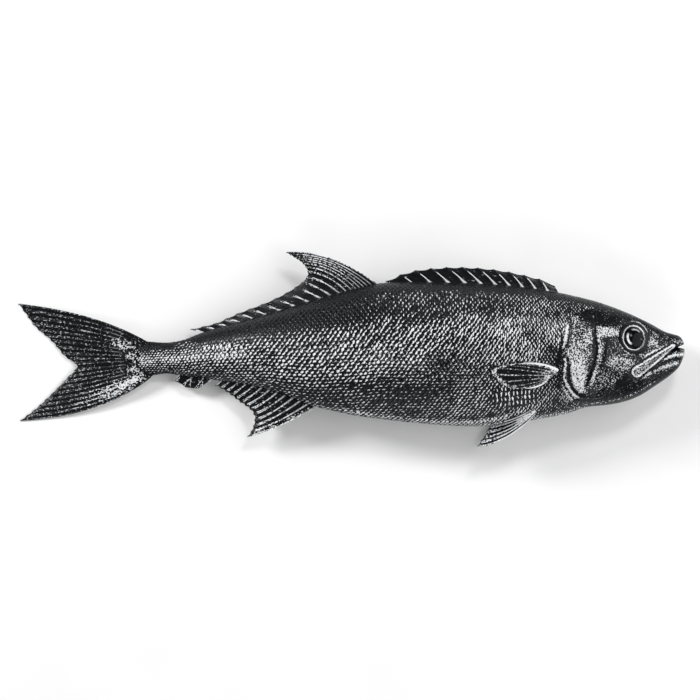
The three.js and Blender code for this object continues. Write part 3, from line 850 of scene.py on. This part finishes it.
scale_shape = one_scale()
for flank_number, name in enumerate(("scales_shown", "scales_under")):
    scales = grown(mesh_object(name), scale_tree, {
        "Skin": skin,
        "Scale": scale_shape,
        "Columns": COLUMNS,
        "Rows": ROWS,
        "Flank": flank_number,
        "Seed": SCALE_SEED + flank_number,
    })
    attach(scales, "root")
bpy.data.objects.remove(scale_shape)

mesh = bmesh.new()
mesh.from_mesh(skin.data)
bmesh.ops.remove_doubles(mesh, verts=mesh.verts, dist=1e-6)
mesh.to_mesh(skin.data)
mesh.free()
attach(skin, "root")
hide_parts("fish")


# The eyes
# A wet ball in the socket of each flank: a black pupil in a dark iris with fine threads, a pale ring
# round the iris that shows in two arcs, partly its own colour and partly painted reflection, and the
# silver rim of the ball where it meets the skin.
PUPIL, IRIS_RIM = 0.42, 0.64  # where the rings are, as shares of the ball's radius
IRIS_THREADS = 40
LOWER_LEFT, TOP = 3.6, 1.5  # where the pale ring shows, partly painted reflection, in radians round the eye
EYE_RINGS, EYE_TURNS = 33, 64
BLACK = (0.001, 0.001, 0.0012, 1)

eye_wet, wire = new_material("eye_wet")
out = wire.attribute("out")
spin = wire.attribute("spin")
thread = wire.math("SINE", spin * IRIS_THREADS + wire.noise(1.2) * 9.0) * 0.5 + 0.5
thread = thread * wire.noise(0.7, 2.0, 2.5)


def ring_mark(at, width):
    """A soft ring on the eye: 1 at its middle line."""
    off = (out - at) / width
    return (1.0 - off * off).rise(0.0, 0.6)


iris = (thread * 0.6).mix(INK, SLATE)
lower_left = wire.math("COSINE", spin - LOWER_LEFT).rise(0.6, 0.9)
top = wire.math("COSINE", spin - TOP).rise(0.75, 0.95)
# The pale ring shows only in two arcs: the iris's own ring and painted reflection.
iris_ring_and_reflection = ring_mark(IRIS_RIM, 0.09) * (lower_left + top * 0.5)
iris_ring_and_reflection = iris_ring_and_reflection * wire.noise(0.9, 2.0, 2.0).rise(0.1, 0.5)
dark = (out.rise(PUPIL, PUPIL + 0.04) * 0.9 + 0.1).mix(BLACK, iris)
on_iris = out.rise(PUPIL, PUPIL + 0.05)
finish(eye_wet, {
    "Base Color": iris_ring_and_reflection.mix(dark, SILVER),
    "Roughness": 0.12,
    "Normal": wire.bump(on_iris * (thread * 0.5 + iris_ring_and_reflection * 0.5), 0.05),
}, gloss=(0.04, 0.14, 0.03))


def eye_ball(name, side, node):
    turn = side * np.arccos(share_of_depth(*EYE_AT))
    at = skin_point(EYE_AT[0], turn)
    normal, forward = skin_frame(EYE_AT[0], turn)
    across = np.cross(normal, forward)
    spins = np.arange(EYE_TURNS) / EYE_TURNS * 2 * np.pi
    tilt, spin = np.meshgrid(np.linspace(0, np.pi, EYE_RINGS), spins, indexing="ij")
    ball = np.stack([np.sin(tilt) * np.cos(spin), np.sin(tilt) * np.sin(spin), np.cos(tilt)], -1)
    points = at - normal * EYE_SINK + ball * EYE_RADII @ np.stack([forward, across, normal])
    made = mesh_object(name, points, tube_faces(*tilt.shape)[:, ::-1])
    store(made, "out", np.where(tilt < np.pi / 2, np.sin(tilt), 1.0))
    store(made, "spin", spin)
    made.data.materials.append(eye_wet)
    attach(made, "root")
    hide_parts(node)


eye_ball("eye_shown", SHOWN, "eye_upper")
eye_ball("eye_under", UNDER, "eye_lower")


# The fins
# Thin dark skin stretched over bony rays that fan out from the body. Spines are single and pointed;
# a soft ray splits in two and again in four towards the fin's ragged edge.
# Each fin is one thin web with a fleshy root, and its rays stand a little out of it on both faces.
def fan(root, edge, rays, spread, sweep, bow, lean, notch):
    """The places in a fin, from which ray they are at, as a share of all rays, and how far out."""
    root_line, edge_line = drawn(root), drawn(edge)

    def at(share, out):
        share, out = np.broadcast_arrays(share, out)
        across = spread(share)
        start, end = root_line(across - sweep * np.sin(np.pi * across)), edge_line(across)
        run = end - start
        length = np.linalg.norm(run, axis=-1, keepdims=True)
        aside = np.stack([run[..., 1], -run[..., 0]], -1) / length
        control = blend(start, end, lean) + aside * 2 * bow(across)[..., None]
        web = np.abs(np.sin(share * (rays - 1) * np.pi))
        t = (out * (1 - notch(across) * web / length[..., 0]))[..., None]
        return (1 - t) ** 2 * start + 2 * (1 - t) * t * control + t**2 * end

    return at


def sheet(name, upper, lower):
    """A closed thin sheet between two grids of points."""
    columns, rows = upper.shape[:2]
    top = numbered(columns, rows)
    faces = grid_faces(top)
    border = np.concatenate([top[:-1, 0], top[-1, :-1], top[:0:-1, -1], top[0, :0:-1]])
    under = border + top.size
    rim = np.stack([np.roll(border, -1), border, under, np.roll(under, -1)], -1)
    faces = np.concatenate([faces, faces[:, ::-1] + top.size, rim])
    across = upper[-1, rows // 2] - upper[0, rows // 2]
    out = upper[columns // 2, -1] - upper[columns // 2, 0]
    if across[0] * out[1] - across[1] * out[0] < 0:
        faces = faces[:, ::-1]
    return mesh_object(name, np.stack([upper, lower]), faces)


RAY_START, FORK, TWIGS = 0.04, 0.42, 0.7  # how far out a ray starts, splits and splits again


def ray_lines(rays, split):
    """The lines of every ray, each as its shares of all rays and how far out it runs."""
    lines = []

    def add(near, out):
        lines.append((np.clip((near + 0 * out) / (rays - 1), 0, 1), out))

    arm = np.linspace(FORK, 0.75, 7)
    tip = np.linspace(TWIGS, 1, 7)
    for ray in range(rays):
        if not split:
            add(ray, np.linspace(RAY_START, 1, 15))
            continue
        add(ray, np.linspace(RAY_START, 0.48, 9))
        for branch in (-split, split):
            add(ray + branch * smooth(arm, FORK, TWIGS), arm)
            parting = ray + branch * (1 + 0.3 * smooth(tip, TWIGS, 1))
            for twig in (-0.6 * split, 0.6 * split):
                add(parting + twig * smooth(tip, TWIGS, 0.95), tip)
    return lines


FULL_TURN = 6.2832

fin_web, wire = new_material("fin_web")
weave = wire.attribute("weave", "Vector")
web_pale = wire.attribute("pale")
ray_number = wire.node("ShaderNodeSeparateXYZ", {"Vector": weave}, "X")
ribs = wire.math("SINE", ray_number * (2 * FULL_TURN)) * 0.5 + 0.5
speck = wire.noise(1000, 3.0, 3.4, (2.6, 0.5, 1), weave)
speck = speck + web_pale.rise(0.15, 0.35) * (wire.noise(1.7, 2.0, 3.4) - speck)
glint = (speck + web_pale * 1.05).rise(1.06, 1.2) * (0.5 + 0.5 * web_pale)
under_skin = wire.math("COSINE", ray_number * FULL_TURN).rise(0.6, 0.9) * wire.attribute("line")
glint = glint + under_skin * (0.3 + 0.9 * wire.noise(1.5, 2.0, 2.6))
finish(fin_web, {
    "Base Color": glint.mix((wire.noise(6) * 0.4 + ribs * 0.2).mix(INK, SLATE), SILVER),
    "Roughness": 0.26 + 0.1 * speck,
    "Normal": wire.bump(ribs * 0.7 + speck * 0.3, 0.06),
}, gloss=(0.15, 0.07, 0.1))

fin_ray, wire = new_material("fin_ray")
ray_pale = wire.attribute("pale")
dash = wire.noise(1.5, 2.0, 3.4)
bone = (dash + ray_pale * 1.2).rise(1.0, 1.15) * ray_pale.rise(0.03, 0.4)
finish(fin_ray, {
    "Base Color": bone.mix(dash.mix(INK, SLATE), SILVER),
    "Roughness": 0.36 + 0.15 * dash,
    "Normal": wire.bump(dash, 0.08),
}, gloss=(0.4, 0.25, 0.2))

lines_in, sides_in = new_tree("fin_rays", {"Lines": "Object", "Sides": "Int"})
paths = mesh_of(lines_in)
curves = paths.node("GeometryNodeMeshToCurve", {"Mesh": paths})
bar = paths.node("GeometryNodeCurvePrimitiveCircle", {"Resolution": sides_in, "Radius": MM})
tubes = paths.node("GeometryNodeCurveToMesh", {
    "Curve": curves,
    "Profile Curve": bar,
    "Scale": stored(paths, "thick"),
    "Fill Caps": True,
})
ray_tree = end_tree(tubes, fin_ray)


def fin(name, root, edge, rays, height, bow, thick, web_pale, ray_pale, notch, lean=0.5, split=0.16,
        rows=18, columns=8, ray_size=(0.55, 0.35), rise=0.0, spread=lambda share: share, sweep=0.0):
    """Builds a fin's web and rays. Pale is a function of how far across and how far out."""
    plan = fan(root, edge, rays, spread, sweep, bow, lean, notch)

    def level(xy, share, out):
        return height(xy[..., 0], xy[..., 1], out) + rise * np.sin(9 * share) * out

    share = np.linspace(0, 1, (rays - 1) * columns + 1)[:, None]
    share, out = np.broadcast_arrays(share, np.linspace(0, 1, rows + 1)[None])
    xy = plan(share, out)
    half = blend(*thick, smooth(out, 0, 0.4))
    z = level(xy, share, out)
    low = np.maximum(z - half, 0.02)
    high = np.maximum(z + half, low + 2 * thick[1])
    upper, lower = (np.concatenate([xy, part[..., None]], -1) for part in (high, low))
    web = sheet(name + "_web", upper, lower)
    run = run_along(xy)
    store(web, "weave", [np.stack([share * (rays - 1), run, 0 * run], -1)] * 2, "FLOAT_VECTOR")
    store(web, "pale", [web_pale(spread(share), out) + 0 * out] * 2)
    store(web, "line", [ray_pale(spread(share), out) * smooth(out, 0.44, 0.36)] * 2)
    web.data.materials.append(fin_web)

    points, edges, sizes, pales = [], [], [], []
    for line_share, line_out in ray_lines(rays, split):
        xy = plan(line_share, line_out)
        size = blend(*ray_size, line_out)
        z = np.maximum(level(xy, line_share, line_out), size * 0.7 + thick[1])
        first = len(points)
        points.extend(np.column_stack([xy, z]))
        edges.extend([first + i, first + i + 1] for i in range(len(z) - 1))
        sizes.extend(size)
        pales.extend(ray_pale(spread(line_share), line_out) + 0 * z)
    lines = mesh_object(name + "_lines", points, edges=edges)
    store(lines, "thick", sizes)
    store(lines, "pale", pales)
    bars = grown(mesh_object(name + "_rays"), ray_tree, {"Lines": lines, "Sides": 6})
    bpy.data.objects.remove(lines)
    for piece in (web, bars):
        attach(piece, "root")
        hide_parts("fish")


def hanging(drop):
    """The height of a fin that springs from the middle of the body and sinks towards its edge."""
    return lambda x, y, out: MIDDLE(x) - drop * out**1.5


def same(value):
    return lambda across, *_: across * 0 + value


fin("spiny_fin",
    root=[(189, 47), (150, 50), (110, 53), (75, 53), (46, 53)],
    edge=[(183, 57.5), (175, 62), (163, 65.5), (143, 70), (122, 73), (98, 74.3), (78, 73.6), (60, 71.5),
          (45, 67.5), (32, 61.5)],
    rays=12, height=hanging(2), bow=same(1.2), notch=same(1.9), thick=(1.5, 0.25), rows=10,
    split=0, sweep=0.09, ray_size=(0.75, 0.4), web_pale=same(0.0),
    ray_pale=lambda a, o: smooth(o, 0.1, 0.2) * smooth(o, 0.85, 0.72))

fin("soft_fin",
    root=[(29, 55), (2, 47), (-27, 39), (-67, 27.5), (-100, 19), (-126, 13)],
    edge=[(-57.5, 87.6), (-50, 83), (-43, 78), (-38.3, 70), (-41.5, 62.5), (-54.5, 53), (-74, 43.2),
          (-98.5, 34), (-112.5, 28), (-123, 23.5), (-144.5, 18.3)],
    rays=20, spread=through([(0, 0), (0.52, 0.3), (0.75, 0.64), (1, 1)]), height=hanging(5),
    bow=lambda a: 8.2 * smooth(a, 0.35, 0) + 0.6, lean=0.58,
    notch=lambda a: blend(0.3, 2.0, a), thick=(1.7, 0.2), rise=0.6, split=0.07,
    web_pale=lambda a, o: 0.16 * smooth(a, 0.35, 0.1) * smooth(o, 0.1, 0.3),
    ray_pale=lambda a, o: blend(0.62 * smooth(o, 0.02, 0.1) * (1 - 0.6 * smooth(o, 0.7, 0.95)),
                                0.8 * smooth(o, 0.22, 0.32) * smooth(o, 0.8, 0.66),
                                smooth(a, 0.22, 0.36)))

fin("anal_fin",
    root=[(-26, -48.5), (-50, -38), (-70, -30.5), (-92, -26), (-111, -23.5)],
    edge=[(-92.8, -78.8), (-88.5, -71.5), (-86.5, -63), (-88.5, -56.5), (-94, -51.5), (-100.5, -47),
          (-107, -42), (-113.5, -37.5), (-121.8, -32.7)],
    rays=13, height=hanging(6), bow=lambda a: -2.9 * (1 - a), lean=0.62, notch=same(1.3),
    thick=(1.6, 0.2), rise=0.5, split=0.1,
    web_pale=lambda a, o: 0.1 * smooth(o, 0.15, 0.35) + 0.3 * smooth(0.12 - a, 0, 0.1),
    ray_pale=lambda a, o: 0.62 * smooth(o, 0.02, 0.1) * smooth(o, 0.97, 0.85))

fin("finlet",
    root=[(-121, -22), (-135, -20), (-149, -18.5)],
    edge=[(-127, -29), (-138, -35.5), (-147, -35), (-160, -28.5)],
    rays=4, height=hanging(2), bow=same(0.0), notch=same(1.0), thick=(1.3, 0.25), rows=8,
    web_pale=same(0.1), ray_pale=same(0.55))

# Strands of the body's silver run on between the tail's rays.
fin("tail_fin",
    root=[(-181, 5), (-190, -1), (-193, -8), (-190, -16), (-177, -22)],
    edge=[(-301.3, 41.3), (-294.5, 32), (-285.5, 20), (-272, 8.5), (-259.5, -6), (-248.5, -15),
          (-259, -27.5), (-273, -42), (-286, -54), (-299.8, -64.5)],
    rays=21, height=hanging(0), lean=0.42, notch=same(1.1), thick=(3.6, 0.2), rows=28, split=0.12,
    bow=lambda a: blend(6.8, -10.8, smooth(a, 0.05, 0.95)) * np.abs(2 * a - 1) ** 1.5,
    web_pale=lambda a, o: 0.04
    + 0.54 * hump(a, 0.87, 0.1) * smooth(o, 0, 0.12) * smooth(o, 0.7, 0.42)
    + 0.3 * hump(a, 0.23, 0.09) * smooth(o, 0.02, 0.1) * smooth(o, 0.5, 0.25)
    + 0.4 * hump(a, 0.66, 0.07) * smooth(o, 0.26, 0.1)
    + 0.36 * hump(a, 0.42, 0.08) * smooth(o, 0.24, 0.1)
    + 0.14 * smooth(o, 0.55, 0.25),
    ray_pale=lambda a, o: (0.25 + 0.34 * hump(a, 0.87, 0.1) * smooth(o, 0.8, 0.45))
    * smooth(o, 0.2, 0.3))


def on_flank(side):
    """The height of the breast fin, folded flat against its flank."""
    return lambda x, y, out: flank(x, y, side) + side * 1.1


def folded_down(side, tip_height):
    """The height of a belly fin, from its root on the flank out to its tip."""
    root_height = flank(165, -54, side) - 0.5

    def height(x, y, out):
        straight = blend(root_height, tip_height, out)
        return np.maximum(straight, flank(x, y, side) + 0.3) if side == SHOWN else straight

    return height


for side, end in ((SHOWN, "shown"), (UNDER, "under")):
    fin("breast_fin_" + end,
        root=[(186, -18), (183, -22), (176, -27.5)],
        edge=[(155, -12), (137, -14), (127, -18), (126, -21), (131.5, -28), (142, -34), (157, -34.5)],
        rays=9, height=on_flank(side), bow=lambda a: blend(2.2, -2.2, a), notch=same(0.8),
        thick=(1.3, 0.25), split=0.05,
        web_pale=lambda a, o: 0.5 * smooth(o, 0.32, 0.12) + 0.3 * smooth(0.3 - a, 0, 0.2)
        + smooth(np.abs(a - 0.5), 0.41, 0.46) + 0.7 * smooth(o, 0.9, 0.96),
        ray_pale=lambda a, o: np.maximum(blend(0.6, 0.3, smooth(o, 0.1, 0.35)),
                                         np.maximum(smooth(-a, -0.06, 0), smooth(a, 0.94, 1))))

for side, end, tip_height in ((SHOWN, "shown", 29), (UNDER, "under", 5)):
    fin("belly_fin_" + end,
        root=[(167, -56), (166, -54.4), (164, -53.4)],
        edge=[(115.5, -87.6), (118.5, -82.5), (122.5, -77), (125, -71.5), (130.5, -66)],
        rays=6, height=folded_down(side, tip_height), bow=lambda a: blend(-5.4, -1.8, a), lean=0.6,
        notch=same(1.2), thick=(1.0, 0.2), split=0.12,
        web_pale=lambda a, o: 0.04 + 0.8 * smooth(o, 0.5, 0.3) * smooth(a, 0.1, 0.25)
        * smooth(a, 0.9, 0.7),
        ray_pale=lambda a, o: blend(0.95, 0.5, smooth(o, 0.4, 0.9)))


# The stage
# A pale plain floor and a camera straight above the fish. A lamp stands on the left, with a large soft
# one on the right, one in front, and a small one at the back that makes the light in the eye.
FLOOR_REACH = 3000
floor_corners = np.array([(-1, -1, 0), (1, -1, 0), (1, 1, 0), (-1, 1, 0)]) * FLOOR_REACH
floor_mesh = mesh_object("floor", floor_corners, [(0, 1, 2, 3)])
paper, wire = new_material("floor_paint")
finish(paper, {
    "Base Color": wire.noise(60).mix((0.86, 0.86, 0.86, 1), (0.88, 0.88, 0.88, 1)),
    "Roughness": 0.9,
})
floor_mesh.data.materials.append(paper)

LAMPS = [  # name, place and size in metres, and power in watts
    ("lamp_left", (-1.6, 1.0, 1.1), 0.6, 38),
    ("lamp_right", (2.0, 0.2, 1.1), 3.2, 52),
    ("lamp_front", (0.1, -2.0, 1.0), 1.8, 21),
    ("lamp_back", (0.62, 1.15, 1.45), 0.4, 10),
]
for name, place, size, power in LAMPS:
    lamp = bpy.data.lights.new(name, "AREA")
    lamp.shape = "DISK"
    lamp.size = size
    lamp.energy = power
    stand = new_object(name, lamp)
    stand.location = place
    stand.rotation_euler = (-Vector(place)).to_track_quat("-Z", "Y").to_euler()

world = bpy.data.worlds.new("room")
world.use_nodes = True
background = world.node_tree.nodes["Background"].inputs
background["Color"].default_value = (1, 1, 1, 1)
background["Strength"].default_value = 0.14
bpy.context.scene.world = world
bpy.context.scene.view_settings.view_transform = "Standard"

lens = bpy.data.cameras.new("camera")
lens.lens = 200
lens.sensor_width = 36
camera = new_object("camera", lens)
camera.location = (0, -0.00045, 3.532)
bpy.context.scene.camera = camera
